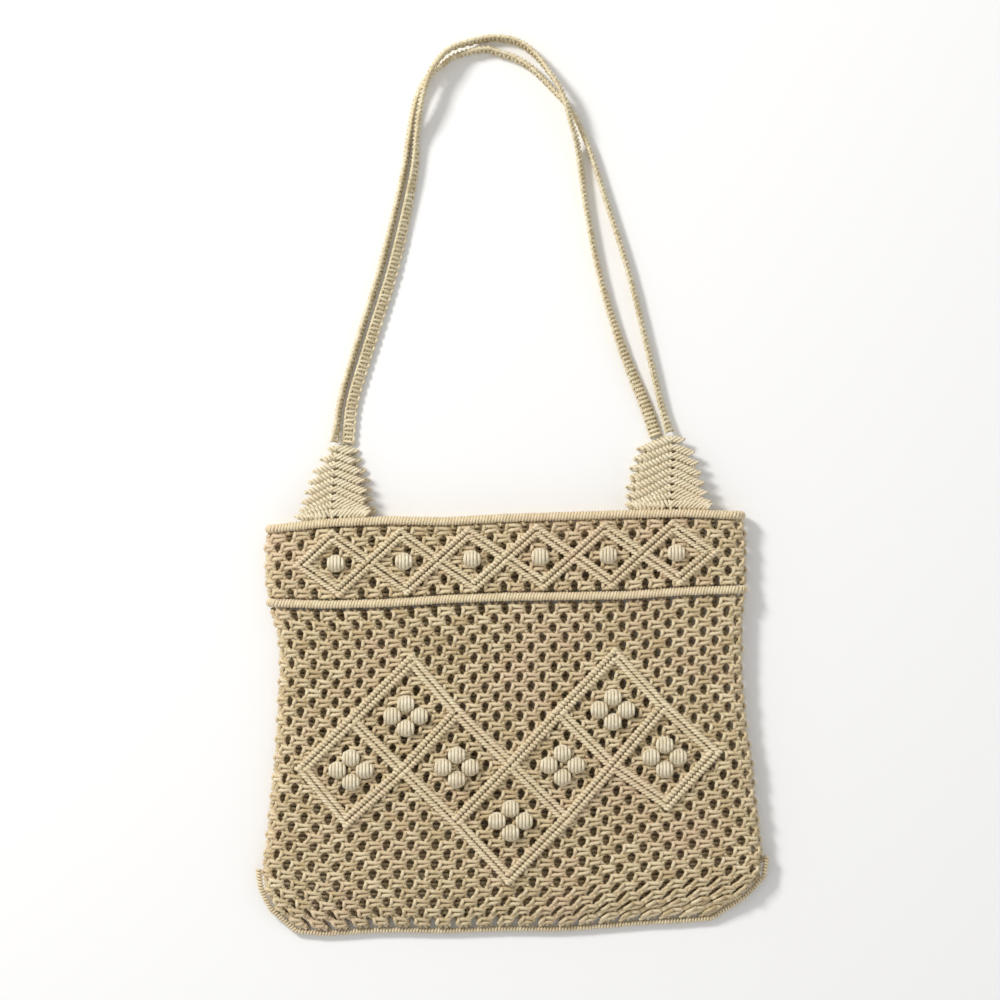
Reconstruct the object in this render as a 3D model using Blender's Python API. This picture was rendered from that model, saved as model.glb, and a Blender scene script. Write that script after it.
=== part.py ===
"""A macrame shoulder bag, lying on its back with its two straps laid out above it.

X runs to the right, Y runs from the hem to the top of the straps, Z points up out of the front.
The net, the ridges, the herringbone tabs, the straps and the berry knots are separate solids.
"""
import math

import bpy
import bmesh
from mathutils import Vector

# The cord, and what a knotted wall of it measures, in metres
CORD = 0.0020
WALL = 2.0 * CORD
GAP = 0.0003

# The body
BODY_WIDTH = 0.3330
BAND_HEIGHT = 0.0545
NET_HEIGHT = 0.2277
BODY_DEPTH = 0.0180
CROWN = 0.0015
RIDGE = 0.0065
HEM = 0.0045
NET_GAP = 0.0050

# The relief and the berry knots
RELIEF_WIDTH = 0.0043
RELIEF_HEIGHT = 0.0026
LOZENGES = 6
LOZENGE_ROW = 0.2815
BOBBLE_WIDTH = 0.0114
BOBBLE_HEIGHT = 0.0065

# The tabs and the straps
TAB_SPACING = 0.2346
TAB_OFFSET = -0.0021
TAB_WIDTH = 0.0560
TAB_HEIGHT = 0.0505
TAB_THICKNESS = 0.0040
TAB_RIBS = 9
TAB_RIB_HEIGHT = 0.0007
BACK_TAB_SHIFT = 0.0035
STRAP_RISE = 0.2800
STRAP_WIDTH = 0.0095
STRAP_THICKNESS = 0.0042

# How finely the solids are divided
COLUMNS = 16
ARC_STEPS = 4
ROPE_SIDES = 8
BOBBLE_SIDES = 10
STRAP_STATIONS = 60

# across is a share of half the body's width; the rises are shares of BAND_HEIGHT
LINES = [
    dict(across=-1.00, rim=-0.150, band=-0.070, bottom=0.000),
    dict(across=-0.75, rim=-0.063, band=-0.095, bottom=-0.063),
    dict(across=-0.50, rim=-0.030, band=-0.076, bottom=-0.013),
    dict(across=-0.25, rim=-0.042, band=-0.025, bottom=-0.030),
    dict(across=0.00, rim=0.000, band=0.004, bottom=0.000),
    dict(across=0.25, rim=0.025, band=0.013, bottom=-0.006),
    dict(across=0.50, rim=0.050, band=0.025, bottom=0.063),
    dict(across=0.75, rim=0.063, band=0.076, bottom=0.108),
    dict(across=1.00, rim=0.030, band=0.100, bottom=0.165),
]

# down is a share of NET_HEIGHT; left and right are shares of half the body's width
NET_ROWS = [
    dict(down=0.00, left=0.990, right=1.000, depth=1.00),
    dict(down=0.06, left=0.957, right=0.985, depth=1.00),
    dict(down=0.13, left=0.945, right=0.985, depth=1.00),
    dict(down=0.20, left=0.942, right=0.985, depth=1.00),
    dict(down=0.28, left=0.950, right=0.988, depth=1.00),
    dict(down=0.36, left=0.954, right=0.996, depth=1.00),
    dict(down=0.44, left=0.960, right=1.010, depth=1.00),
    dict(down=0.52, left=0.970, right=1.026, depth=1.00),
    dict(down=0.60, left=0.982, right=1.036, depth=1.00),
    dict(down=0.68, left=0.992, right=1.047, depth=1.00),
    dict(down=0.76, left=1.005, right=1.060, depth=1.00),
    dict(down=0.82, left=1.015, right=1.070, depth=1.00),
    dict(down=0.88, left=1.005, right=1.060, depth=0.97),
    dict(down=0.94, left=0.965, right=0.985, depth=0.80),
    dict(down=1.00, left=0.865, right=0.850, depth=0.42),
]
HEM_FIRST_ROW = 11

# The upper band's edges, from the rim down to the band ridge
BAND_ROWS = [
    dict(down=0.00, left=1.000, right=0.990, depth=1.00),
    dict(down=0.35, left=1.000, right=1.000, depth=1.00),
    dict(down=0.70, left=1.000, right=1.000, depth=1.00),
    dict(down=1.00, left=0.990, right=1.000, depth=1.00),
]

# Crossings of the diamond ridges: across is a share of half the body's width, down of NET_HEIGHT
DIAMOND_NODES = dict(
    a1=(-0.841, 0.518), a2=(-0.638, 0.373), a3=(-0.390, 0.191),
    b1=(-0.659, 0.676), b2=(-0.427, 0.524), b3=(-0.203, 0.348),
    c2=(-0.207, 0.679), c3=(0.021, 0.506), c4=(0.220, 0.348), c5=(0.452, 0.173),
    d2=(0.012, 0.848), d3=(0.249, 0.670), d4=(0.443, 0.509), d5=(0.651, 0.330),
    e4=(0.667, 0.624), e5=(0.862, 0.470),
)
DIAMOND_CELLS = [
    ("a1", "a2", "b2", "b1"),
    ("a2", "a3", "b3", "b2"),
    ("b2", "b3", "c3", "c2"),
    ("c2", "c3", "d3", "d2"),
    ("c3", "c4", "d4", "d3"),
    ("c4", "c5", "d5", "d4"),
    ("d4", "d5", "e5", "e4"),
]
DIAMOND_BORDER = ["a1", "a2", "a3", "b3", "c3", "c4", "c5", "d5", "e5", "e4", "d4", "d3", "d2", "c2", "b2", "b1"]

# Four berry knots to a diamond cell, in shares of a knot's width from its centre
CLUSTER = [(0.0, 0.73), (-0.82, 0.0), (0.82, 0.0), (0.0, -0.73)]

# A berry knot's outline
BOBBLE_PROFILE = [
    dict(height=0.00, radius=0.72),
    dict(height=0.38, radius=1.00),
    dict(height=0.78, radius=0.74),
]

# Tab outlines: height is a share of TAB_HEIGHT; the rest are shares of half of TAB_WIDTH from the tab's axis
LEFT_TAB = [
    dict(height=0.00, left=-0.93, right=0.93, centre=-0.02),
    dict(height=0.12, left=-0.79, right=0.85, centre=-0.01),
    dict(height=0.27, left=-0.71, right=0.80, centre=0.00),
    dict(height=0.44, left=-0.63, right=0.75, centre=0.02),
    dict(height=0.60, left=-0.49, right=0.65, centre=0.04),
    dict(height=0.72, left=-0.36, right=0.56, centre=0.06),
    dict(height=0.86, left=-0.16, right=0.47, centre=0.09),
    dict(height=1.00, left=-0.06, right=0.43, centre=0.12),
]
RIGHT_TAB = [
    dict(height=0.00, left=-1.02, right=0.96, centre=-0.06),
    dict(height=0.12, left=-1.01, right=0.84, centre=-0.05),
    dict(height=0.27, left=-0.98, right=0.77, centre=-0.04),
    dict(height=0.44, left=-0.93, right=0.71, centre=-0.03),
    dict(height=0.60, left=-0.84, right=0.63, centre=-0.01),
    dict(height=0.72, left=-0.76, right=0.53, centre=0.00),
    dict(height=0.86, left=-0.66, right=0.37, centre=0.01),
    dict(height=1.00, left=-0.56, right=0.10, centre=0.01),
]
RIB_SLOPE = math.tan(math.radians(27.0))
RIB_FULL_HEIGHT = 0.35

# The two straps' common route. across is a share of the way from the left tab's tip to the right one's,
# up of STRAP_RISE. spread is 1 where the front strap lies just outside the back strap, -1 where it lies
# just inside, and apart adds a share of the distance between the tips. The turns are the straps' lean
# in degrees, 0 flat and 90 on edge with the outer edge up. over lifts the back strap onto the front
# one, and seat is how much of the tab tip's height a strap still keeps.
STRAP_ROUTE = [
    dict(across=0.000, up=0.000, apart=0.000, spread=1.00, front_turn=50, back_turn=4, over=0.00, seat=1.0),
    dict(across=0.005, up=0.034, apart=0.000, spread=1.00, front_turn=74, back_turn=16, over=0.00, seat=0.5),
    dict(across=0.019, up=0.113, apart=0.000, spread=1.00, front_turn=80, back_turn=30, over=0.00, seat=0.0),
    dict(across=0.073, up=0.255, apart=0.001, spread=1.00, front_turn=80, back_turn=30, over=0.00, seat=0.0),
    dict(across=0.146, up=0.443, apart=0.001, spread=1.00, front_turn=80, back_turn=36, over=0.00, seat=0.0),
    dict(across=0.206, up=0.651, apart=0.000, spread=1.00, front_turn=82, back_turn=62, over=0.00, seat=0.0),
    dict(across=0.221, up=0.749, apart=0.000, spread=1.00, front_turn=88, back_turn=82, over=0.10, seat=0.0),
    dict(across=0.234, up=0.817, apart=0.000, spread=1.00, front_turn=90, back_turn=88, over=0.70, seat=0.0),
    dict(across=0.251, up=0.866, apart=0.000, spread=0.75, front_turn=90, back_turn=88, over=1.00, seat=0.0),
    dict(across=0.276, up=0.905, apart=0.000, spread=0.00, front_turn=90, back_turn=88, over=1.00, seat=0.0),
    dict(across=0.310, up=0.935, apart=0.000, spread=-0.75, front_turn=90, back_turn=88, over=1.00, seat=0.0),
    dict(across=0.353, up=0.960, apart=-0.001, spread=-1.00, front_turn=88, back_turn=85, over=0.70, seat=0.0),
    dict(across=0.443, up=0.977, apart=-0.004, spread=-1.00, front_turn=80, back_turn=78, over=0.00, seat=0.0),
    dict(across=0.495, up=0.973, apart=-0.016, spread=-1.00, front_turn=76, back_turn=75, over=0.00, seat=0.0),
    dict(across=0.548, up=0.959, apart=-0.020, spread=-1.00, front_turn=78, back_turn=75, over=0.00, seat=0.0),
    dict(across=0.596, up=0.931, apart=-0.014, spread=-1.00, front_turn=84, back_turn=82, over=0.25, seat=0.0),
    dict(across=0.635, up=0.895, apart=-0.004, spread=-1.00, front_turn=88, back_turn=90, over=0.85, seat=0.0),
    dict(across=0.668, up=0.862, apart=0.000, spread=-0.75, front_turn=90, back_turn=96, over=1.00, seat=0.0),
    dict(across=0.697, up=0.826, apart=0.000, spread=0.00, front_turn=90, back_turn=100, over=1.00, seat=0.0),
    dict(across=0.720, up=0.786, apart=0.000, spread=0.80, front_turn=90, back_turn=102, over=1.00, seat=0.0),
    dict(across=0.741, up=0.741, apart=0.002, spread=1.00, front_turn=92, back_turn=103, over=0.70, seat=0.0),
    dict(across=0.759, up=0.693, apart=0.012, spread=1.00, front_turn=95, back_turn=103, over=0.10, seat=0.0),
    dict(across=0.797, up=0.561, apart=0.039, spread=1.00, front_turn=100, back_turn=103, over=0.00, seat=0.0),
    dict(across=0.848, up=0.402, apart=0.059, spread=1.00, front_turn=103, back_turn=106, over=0.00, seat=0.0),
    dict(across=0.909, up=0.228, apart=0.040, spread=1.00, front_turn=105, back_turn=130, over=0.00, seat=0.0),
    dict(across=0.968, up=0.080, apart=0.008, spread=1.00, front_turn=112, back_turn=158, over=0.00, seat=0.0),
    dict(across=0.988, up=0.030, apart=0.002, spread=1.00, front_turn=122, back_turn=168, over=0.00, seat=0.5),
    dict(across=1.000, up=0.000, apart=0.000, spread=1.00, front_turn=132, back_turn=176, over=0.00, seat=1.0),
]


def clear_scene():
    for thing in list(bpy.data.objects):
        bpy.data.objects.remove(thing, do_unlink=True)


def cord_material(name, colour, roughness):
    material = bpy.data.materials.new(name)
    material.use_nodes = True
    shader = material.node_tree.nodes["Principled BSDF"]
    shader.inputs["Base Color"].default_value = (*colour, 1.0)
    shader.inputs["Roughness"].default_value = roughness
    shader.inputs["Metallic"].default_value = 0.0
    return material


def add_object(name, mesh_edit, material, smooth_angle=None):
    """Turn an edited mesh into one named object with its faces pointing out."""
    bmesh.ops.recalc_face_normals(mesh_edit, faces=mesh_edit.faces[:])
    mesh = bpy.data.meshes.new(name)
    mesh_edit.to_mesh(mesh)
    mesh_edit.free()
    if smooth_angle is not None:
        mesh.shade_smooth()
        mesh.set_sharp_from_angle(angle=math.radians(smooth_angle))
    mesh.materials.append(material)
    thing = bpy.data.objects.new(name, mesh)
    bpy.context.scene.collection.objects.link(thing)
    return thing


def mix(low, high, share):
    return low + (high - low) * share


def read_table(rows, key, column, at):
    """A column's value at a key between rows, in straight steps."""
    if at <= rows[0][key]:
        return rows[0][column]
    for first, second in zip(rows, rows[1:]):
        if at <= second[key]:
            share = (at - first[key]) / (second[key] - first[key])
            return mix(first[column], second[column], share)
    return rows[-1][column]


def line_height(column, x, nominal):
    """The Y of the rim, band or bottom line at x."""
    across = x / (BODY_WIDTH / 2)
    return nominal + read_table(LINES, "across", column, across) * BAND_HEIGHT


def rim_line(x):
    return line_height("rim", x, 0.0)


def band_line(x):
    return line_height("band", x, -BAND_HEIGHT)


def bottom_line(x):
    return line_height("bottom", x, -BAND_HEIGHT - NET_HEIGHT)


def crown_height(x):
    """How far the front bulges at x beyond the body's depth."""
    share = min(1.0, abs(x) / (BODY_WIDTH / 2))
    return CROWN * (1.0 - share * share)


def front_height(x):
    return BODY_DEPTH + crown_height(x)


def ring_points(left, right, depth, inset):
    """(x, z) round one flattened ring: the front, the right fold, the back, the left fold."""
    middle = depth / 2
    radius = middle - inset
    flat_left = left + middle
    flat_right = right - middle
    steps = [step / COLUMNS for step in range(COLUMNS + 1)]
    turns = [math.pi / 2 - math.pi * step / ARC_STEPS for step in range(1, ARC_STEPS)]
    front = [(mix(flat_left, flat_right, step), middle + radius) for step in steps]
    right_fold = [(flat_right + radius * math.cos(turn), middle + radius * math.sin(turn)) for turn in turns]
    back = [(mix(flat_right, flat_left, step), middle - radius) for step in steps]
    left_fold = [(flat_left - radius * math.cos(turn), middle - radius * math.sin(turn)) for turn in turns]
    points = []
    for x, z in front + right_fold + back + left_fold:
        upper = max(0.0, (z - middle) / radius)
        points.append((x, z + crown_height(x) * upper))
    return points


def wall_at(depth):
    """The wall's thickness, thinner where the body is pressed flat at the hem."""
    return min(WALL, 0.40 * depth)


def ring_vertices(edit, row, top, bottom, inset_share, lift=0.0):
    """One ring of vertices; top and bottom give the zone's upper and lower line at x."""
    half = BODY_WIDTH / 2
    depth = BODY_DEPTH * row["depth"]
    inset = wall_at(depth) * inset_share
    vertices = []
    for x, z in ring_points(-row["left"] * half, row["right"] * half, depth, inset):
        y = mix(top(x), bottom(x), row["down"]) + lift
        vertices.append(edit.verts.new((x, y, z)))
    return vertices


def diamond_hole(outer, inner, edit):
    """Faces round a diamond hole that goes through one cell of the wall."""
    rims = []
    for corners in (outer, inner):
        places = [corner.co for corner in corners]
        centre = sum(places, Vector()) / 4
        across = (places[1] + places[2] - places[0] - places[3]).normalized() * (NET_GAP / 2)
        down = (places[3] + places[2] - places[0] - places[1]).normalized() * (NET_GAP / 2)
        rim = [edit.verts.new(centre + move) for move in (-down, across, down, -across)]
        rims.append(rim)
        for index in range(4):
            after = (index + 1) % 4
            edit.faces.new((corners[index], corners[after], rim[index]))
            edit.faces.new((corners[after], rim[after], rim[index]))
    for index in range(4):
        after = (index + 1) % 4
        edit.faces.new((rims[0][index], rims[0][after], rims[1][after], rims[1][index]))


def close_ring(edit, ring):
    """Close the flat end of a ring by joining its front to its back."""
    back_end = 2 * COLUMNS + ARC_STEPS
    for step in range(COLUMNS):
        edit.faces.new((ring[step], ring[step + 1], ring[back_end - step - 1], ring[back_end - step]))
    right_fold = ring[COLUMNS:COLUMNS + ARC_STEPS + 1]
    left_fold = ring[back_end:] + ring[:1]
    for fold in (right_fold, left_fold):
        edit.faces.new((fold[0], fold[1], fold[3], fold[4]))
        edit.faces.new((fold[1], fold[2], fold[3]))


def knotted_wall(name, rows, top, bottom, material, closed, pierced):
    """A hollow flattened tube of net: open at both ends, or closed at its lower end."""
    edit = bmesh.new()
    outer = [ring_vertices(edit, row, top, bottom, 0.0) for row in rows]
    inner = [ring_vertices(edit, row, top, bottom, 1.0) for row in rows[:-1]]
    floor_lift = wall_at(BODY_DEPTH * rows[-1]["depth"]) if closed else 0.0
    inner.append(ring_vertices(edit, rows[-1], top, bottom, 1.0, floor_lift))
    around = len(outer[0])
    for level in range(len(rows) - 1):
        for step in range(around):
            after = (step + 1) % around
            outer_cell = (outer[level][step], outer[level][after], outer[level + 1][after], outer[level + 1][step])
            inner_cell = (inner[level][step], inner[level][after], inner[level + 1][after], inner[level + 1][step])
            if pierced(level, step, outer_cell):
                diamond_hole(outer_cell, inner_cell, edit)
            else:
                edit.faces.new(outer_cell)
                edit.faces.new(inner_cell)
    ends = [0] if closed else [0, len(rows) - 1]
    for level in ends:
        for step in range(around):
            after = (step + 1) % around
            edit.faces.new((outer[level][step], outer[level][after], inner[level][after], inner[level][step]))
    if closed:
        close_ring(edit, outer[-1])
        close_ring(edit, inner[-1])
    return add_object(name, edit, material)


def inside(point, outline):
    """Whether a point lies inside a closed outline of (x, y) corners."""
    crossings = 0
    for (x1, y1), (x2, y2) in zip(outline, outline[1:] + outline[:1]):
        if (y1 > point[1]) != (y2 > point[1]):
            if point[0] < x1 + (point[1] - y1) * (x2 - x1) / (y2 - y1):
                crossings += 1
    return crossings % 2 == 1


def offset_outline(points, distance):
    """A closed outline moved to its inner side by a distance, with mitred corners."""
    doubled_area = 0.0
    for first, second in zip(points, points[1:] + points[:1]):
        doubled_area += first[0] * second[1] - second[0] * first[1]
    side = 1.0 if doubled_area > 0 else -1.0
    moved = []
    for index, point in enumerate(points):
        before = Vector(point) - Vector(points[index - 1])
        ahead = Vector(points[(index + 1) % len(points)]) - Vector(point)
        normal_before = Vector((-before.y, before.x)).normalized() * side
        normal_ahead = Vector((-ahead.y, ahead.x)).normalized() * side
        mitre = (normal_before + normal_ahead) / (1.0 + normal_before.dot(normal_ahead))
        moved.append(tuple(Vector(point) + mitre * distance))
    return moved


def relief(name, nodes, cells, border, material):
    """Raised double ridges along the sides of all cells, as one solid resting on the front."""
    edit = bmesh.new()

    def place(point, rise):
        return edit.verts.new((point[0], point[1], front_height(point[0]) + GAP + rise))

    valley = {key: place(point, 0.45 * RELIEF_HEIGHT) for key, point in nodes.items()}
    under = {key: place(point, 0.0) for key, point in nodes.items()}

    def ridge_strip(keys, direction):
        outline = [nodes[key] for key in keys]
        crest = [place(point, RELIEF_HEIGHT) for point in offset_outline(outline, direction * RELIEF_WIDTH / 2)]
        foot = [place(point, 0.0) for point in offset_outline(outline, direction * RELIEF_WIDTH)]
        for index, key in enumerate(keys):
            after = (index + 1) % len(keys)
            following = keys[after]
            edit.faces.new((valley[key], valley[following], crest[after], crest[index]))
            edit.faces.new((crest[index], crest[after], foot[after], foot[index]))
            edit.faces.new((under[key], under[following], foot[after], foot[index]))

    for cell in cells:
        ridge_strip(cell, 1.0)
    ridge_strip(border, -1.0)
    return add_object(name, edit, material)


def bobble(name, x, y, material):
    """A berry knot: a low dome seated on the front of the net."""
    edit = bmesh.new()
    base = front_height(x) + GAP
    rings = []
    for section in BOBBLE_PROFILE:
        radius = section["radius"] * BOBBLE_WIDTH / 2
        ring = []
        for step in range(BOBBLE_SIDES):
            turn = 2 * math.pi * step / BOBBLE_SIDES
            place = (x + radius * math.cos(turn), y + radius * math.sin(turn), base + section["height"] * BOBBLE_HEIGHT)
            ring.append(edit.verts.new(place))
        rings.append(ring)
    top = edit.verts.new((x, y, base + BOBBLE_HEIGHT))
    edit.faces.new(rings[0])
    for lower, upper in zip(rings, rings[1:]):
        for step in range(BOBBLE_SIDES):
            after = (step + 1) % BOBBLE_SIDES
            edit.faces.new((lower[step], lower[after], upper[after], upper[step]))
    for step in range(BOBBLE_SIDES):
        edit.faces.new((rings[-1][step], rings[-1][(step + 1) % BOBBLE_SIDES], top))
    return add_object(name, edit, material, smooth_angle=60)


def sweep(edit, path, section_at, closed):
    """Skin a list of sections placed along a path; section_at gives each station's ring of points."""
    rings = [[edit.verts.new(point) for point in section_at(index)] for index in range(len(path))]
    spans = len(path) if closed else len(path) - 1
    sides = len(rings[0])
    for station in range(spans):
        first = rings[station]
        second = rings[(station + 1) % len(path)]
        for side in range(sides):
            after = (side + 1) % sides
            edit.faces.new((first[side], first[after], second[after], second[side]))
    if not closed:
        edit.faces.new(rings[0])
        edit.faces.new(rings[-1])


def tangents(path, closed):
    """The direction of a path at each of its points."""
    result = []
    count = len(path)
    for index in range(count):
        before = path[index - 1] if closed or index > 0 else path[index]
        ahead = path[(index + 1) % count] if closed or index < count - 1 else path[index]
        result.append((ahead - before).normalized())
    return result


def rope(name, path, diameter, hint, closed, material):
    """A round rope along a path; hint is a direction that the path never runs along."""
    edit = bmesh.new()
    directions = tangents(path, closed)

    def section_at(index):
        side = directions[index].cross(hint).normalized()
        up = side.cross(directions[index]).normalized()
        ring = []
        for step in range(ROPE_SIDES):
            turn = 2 * math.pi * (step + 0.5) / ROPE_SIDES
            reach = side * math.cos(turn) + up * math.sin(turn)
            ring.append(path[index] + reach * (diameter / 2) / math.cos(math.pi / ROPE_SIDES))
        return ring

    sweep(edit, path, section_at, closed)
    return add_object(name, edit, material, smooth_angle=60)


def ridge_path(left, right, line):
    """The route of a ridge that runs round the body, flush with the back and with the inner front."""
    radius = RIDGE / 2
    front = BODY_DEPTH - WALL + radius
    middle = (front + radius) / 2
    bend = (front - radius) / 2
    half = BODY_WIDTH / 2
    path = []
    flat_left = -left * half + radius + bend
    flat_right = right * half - radius - bend
    for step in range(COLUMNS + 1):
        x = mix(flat_left, flat_right, step / COLUMNS)
        path.append(Vector((x, line(x), front + crown_height(x))))
    for step in range(1, ARC_STEPS):
        turn = math.pi / 2 - math.pi * step / ARC_STEPS
        x = flat_right + bend * math.cos(turn)
        path.append(Vector((x, line(x), middle + bend * math.sin(turn))))
    for step in range(COLUMNS + 1):
        x = mix(flat_right, flat_left, step / COLUMNS)
        path.append(Vector((x, line(x), radius)))
    for step in range(1, ARC_STEPS):
        turn = -math.pi / 2 - math.pi * step / ARC_STEPS
        x = flat_left + bend * math.cos(turn)
        path.append(Vector((x, line(x), middle + bend * math.sin(turn))))
    return path


def net_top(x):
    return band_line(x) - RIDGE / 2 - GAP


def band_top(x):
    return rim_line(x) - RIDGE / 2 - GAP


def band_bottom(x):
    return band_line(x) + RIDGE / 2 + GAP


def hem_path():
    """The hem's route just outside the net: down the left corner, along the bottom, up the right corner."""
    half = BODY_WIDTH / 2
    rows = NET_ROWS[HEM_FIRST_ROW:]

    def fold(row, side, sign):
        x = sign * row[side] * half
        return Vector((x, mix(net_top(x), bottom_line(x), row["down"]), BODY_DEPTH * row["depth"] / 2))

    left = [fold(row, "left", -1.0) for row in rows]
    right = [fold(row, "right", 1.0) for row in reversed(rows)]
    bottom = []
    for step in range(1, COLUMNS):
        x = mix(left[-1].x, right[0].x, step / COLUMNS)
        bottom.append(Vector((x, bottom_line(x), left[-1].z)))
    edge = left + bottom + right
    path = []
    for index, point in enumerate(edge):
        before = edge[max(0, index - 1)]
        ahead = edge[min(len(edge) - 1, index + 1)]
        run = (ahead - before).normalized()
        outward = Vector((run.y, -run.x, 0.0)).normalized()
        path.append(point + outward * (HEM / 2 + 2.0 * GAP))
    return path


def tab_axis(side):
    return side * TAB_SPACING / 2 + TAB_OFFSET


def tab_tip(side, table):
    """The middle of a front tab's upper end."""
    tip = table[-1]
    x = tab_axis(side) + (tip["left"] + tip["right"]) / 2 * TAB_WIDTH / 2
    return Vector((x, tab_foot(x) + TAB_HEIGHT, 0.0))


def tab_foot(x):
    return rim_line(x) + RIDGE / 2 + GAP


def tab_tip_height(layer):
    """The middle height of a tab's tip: back tabs lie on the floor, front tabs on the back tabs."""
    lying = TAB_THICKNESS / 2
    if layer == "back":
        return lying
    return lying + TAB_THICKNESS + TAB_RIB_HEIGHT + 2.0 * GAP


def tab_middle(layer, height):
    """The middle height of a tab at a share of its height."""
    lying = tab_tip_height(layer)
    if layer == "back":
        return lying
    rim_front = BODY_DEPTH - WALL + RIDGE / 2
    return mix(rim_front, lying, height)


def tab(name, side, table, layer, material):
    """A herringbone tab: a tapering plate with ribs that rise to its centre line."""
    edit = bmesh.new()
    shift = -side * BACK_TAB_SHIFT if layer == "back" else 0.0
    axis = tab_axis(side) + shift
    half = TAB_WIDTH / 2
    levels = 2 * TAB_RIBS
    over, under = [], []
    for level in range(levels + 1):
        height = level / levels
        widths = (read_table(table, "height", "right", height) - read_table(table, "height", "left", height)) / 2
        drop = widths * half * RIB_SLOPE * min(1.0, height / RIB_FULL_HEIGHT)
        lowered = max(0.0, height - drop / TAB_HEIGHT)
        rib = TAB_RIB_HEIGHT if level % 2 == 1 else 0.0
        top_row, bottom_row = [], []
        for column, share in (("left", lowered), ("centre", height), ("right", lowered)):
            x = axis + read_table(table, "height", column, share) * half
            y = tab_foot(x) + share * TAB_HEIGHT
            middle = tab_middle(layer, share)
            top_row.append(edit.verts.new((x, y, middle + TAB_THICKNESS / 2 + rib)))
            bottom_row.append(edit.verts.new((x, y, middle - TAB_THICKNESS / 2)))
        over.append(top_row)
        under.append(bottom_row)
    for low, high in zip(range(levels), range(1, levels + 1)):
        for column in (0, 1):
            edit.faces.new((over[low][column], over[low][column + 1], over[high][column + 1], over[high][column]))
            edit.faces.new((under[low][column], under[low][column + 1], under[high][column + 1], under[high][column]))
        for edge in (0, 2):
            edit.faces.new((over[low][edge], over[high][edge], under[high][edge], under[low][edge]))
    for end in (0, levels):
        for column in (0, 1):
            edit.faces.new((over[end][column], over[end][column + 1], under[end][column + 1], under[end][column]))
    return add_object(name, edit, material)


def smooth_rows(rows, station):
    """Every column of a route between its rows, on a smooth curve through them."""
    position = station * (len(rows) - 1)
    index = min(int(position), len(rows) - 2)
    share = position - index
    before = rows[max(0, index - 1)]
    first = rows[index]
    second = rows[index + 1]
    after = rows[min(len(rows) - 1, index + 2)]
    values = {}
    for column in first:
        slope_first = (second[column] - before[column]) / 2
        slope_second = (after[column] - first[column]) / 2
        rise = second[column] - first[column]
        square = share * share
        cube = square * share
        values[column] = (first[column] + slope_first * (cube - 2 * square + share)
                          + rise * (3 * square - 2 * cube) + slope_second * (cube - square))
    return values


def strap_extents(turn):
    """Half of how wide and how high a strap's section is when it leans by a turn in degrees."""
    lean = math.radians(turn)
    across, upright = abs(math.cos(lean)), abs(math.sin(lean))
    wide = (STRAP_WIDTH * across + STRAP_THICKNESS * upright) / 2
    high = (STRAP_WIDTH * upright + STRAP_THICKNESS * across) / 2
    return wide, high


def strap_routes():
    """Both straps' stations, each a place and a turn, side by side along one common route."""
    start = tab_tip(-1, LEFT_TAB)
    finish = tab_tip(1, RIGHT_TAB)
    span = finish.x - start.x
    stations = [smooth_rows(STRAP_ROUTE, index / (STRAP_STATIONS - 1)) for index in range(STRAP_STATIONS)]
    middle = []
    for station in stations:
        x = start.x + station["across"] * span
        y = mix(start.y, finish.y, station["across"]) + 3.0 * GAP + station["up"] * STRAP_RISE
        middle.append(Vector((x, y, 0.0)))
    directions = tangents(middle, False)
    front, back = [], []
    for station, place, run in zip(stations, middle, directions):
        outward = Vector((-run.y, run.x, 0.0))
        front_wide, front_high = strap_extents(station["front_turn"])
        back_wide, back_high = strap_extents(station["back_turn"])
        beside = (front_wide + back_wide + GAP) / 2 * station["spread"] + station["apart"] * span / 2
        front_rise = mix(front_high, max(front_high, tab_tip_height("front")), station["seat"])
        lifted = max(0.0, station["over"]) * (2.0 * front_high + 2.0 * GAP)
        back_rise = mix(back_high + lifted, max(back_high, tab_tip_height("back")), station["seat"])
        front.append((place + outward * beside + Vector((0.0, 0.0, front_rise)), station["front_turn"]))
        back.append((place - outward * beside + Vector((0.0, 0.0, back_rise)), station["back_turn"]))
    return front, back


def strap(name, stations, material):
    """A flat knotted band with worn edges, leaning as its stations say."""
    edit = bmesh.new()
    path = [place for place, turn in stations]
    directions = tangents([Vector((place.x, place.y, 0.0)) for place in path], False)
    wide, thick = STRAP_WIDTH / 2, STRAP_THICKNESS / 2
    outline = [
        (-wide, -0.4 * thick), (-0.8 * wide, -thick), (0.8 * wide, -thick), (wide, -0.4 * thick),
        (wide, 0.4 * thick), (0.8 * wide, thick), (-0.8 * wide, thick), (-wide, 0.4 * thick),
    ]

    def section_at(index):
        run = directions[index]
        outward = Vector((-run.y, run.x, 0.0))
        lean = math.radians(stations[index][1])
        along_width = outward * math.cos(lean) + Vector((0.0, 0.0, math.sin(lean)))
        along_thickness = outward * -math.sin(lean) + Vector((0.0, 0.0, math.cos(lean)))
        return [path[index] + along_width * a + along_thickness * b for a, b in outline]

    sweep(edit, path, section_at, False)
    return add_object(name, edit, material, smooth_angle=60)


def diamond_places():
    """The diamond crossings as (x, y) in metres."""
    half = BODY_WIDTH / 2
    return {key: (across * half, -BAND_HEIGHT - down * NET_HEIGHT) for key, (across, down) in DIAMOND_NODES.items()}


def lozenge_places():
    """The upper band's ridge crossings: its middles, tops and bottoms, numbered from the left."""
    pitch = LOZENGE_ROW / LOZENGES
    lean = 0.45 * pitch

    def at(x, share):
        return x, mix(rim_line(x), band_line(x), share)

    places = {}
    for number in range(LOZENGES + 1):
        x = -LOZENGE_ROW / 2 + number * pitch
        places[f"middle_{number}"] = at(x, 0.50)
        if number < LOZENGES:
            places[f"top_{number}"] = at(x + lean, 0.165)
        if number > 0:
            places[f"bottom_{number}"] = at(x - lean, 0.835)
    return places


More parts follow.
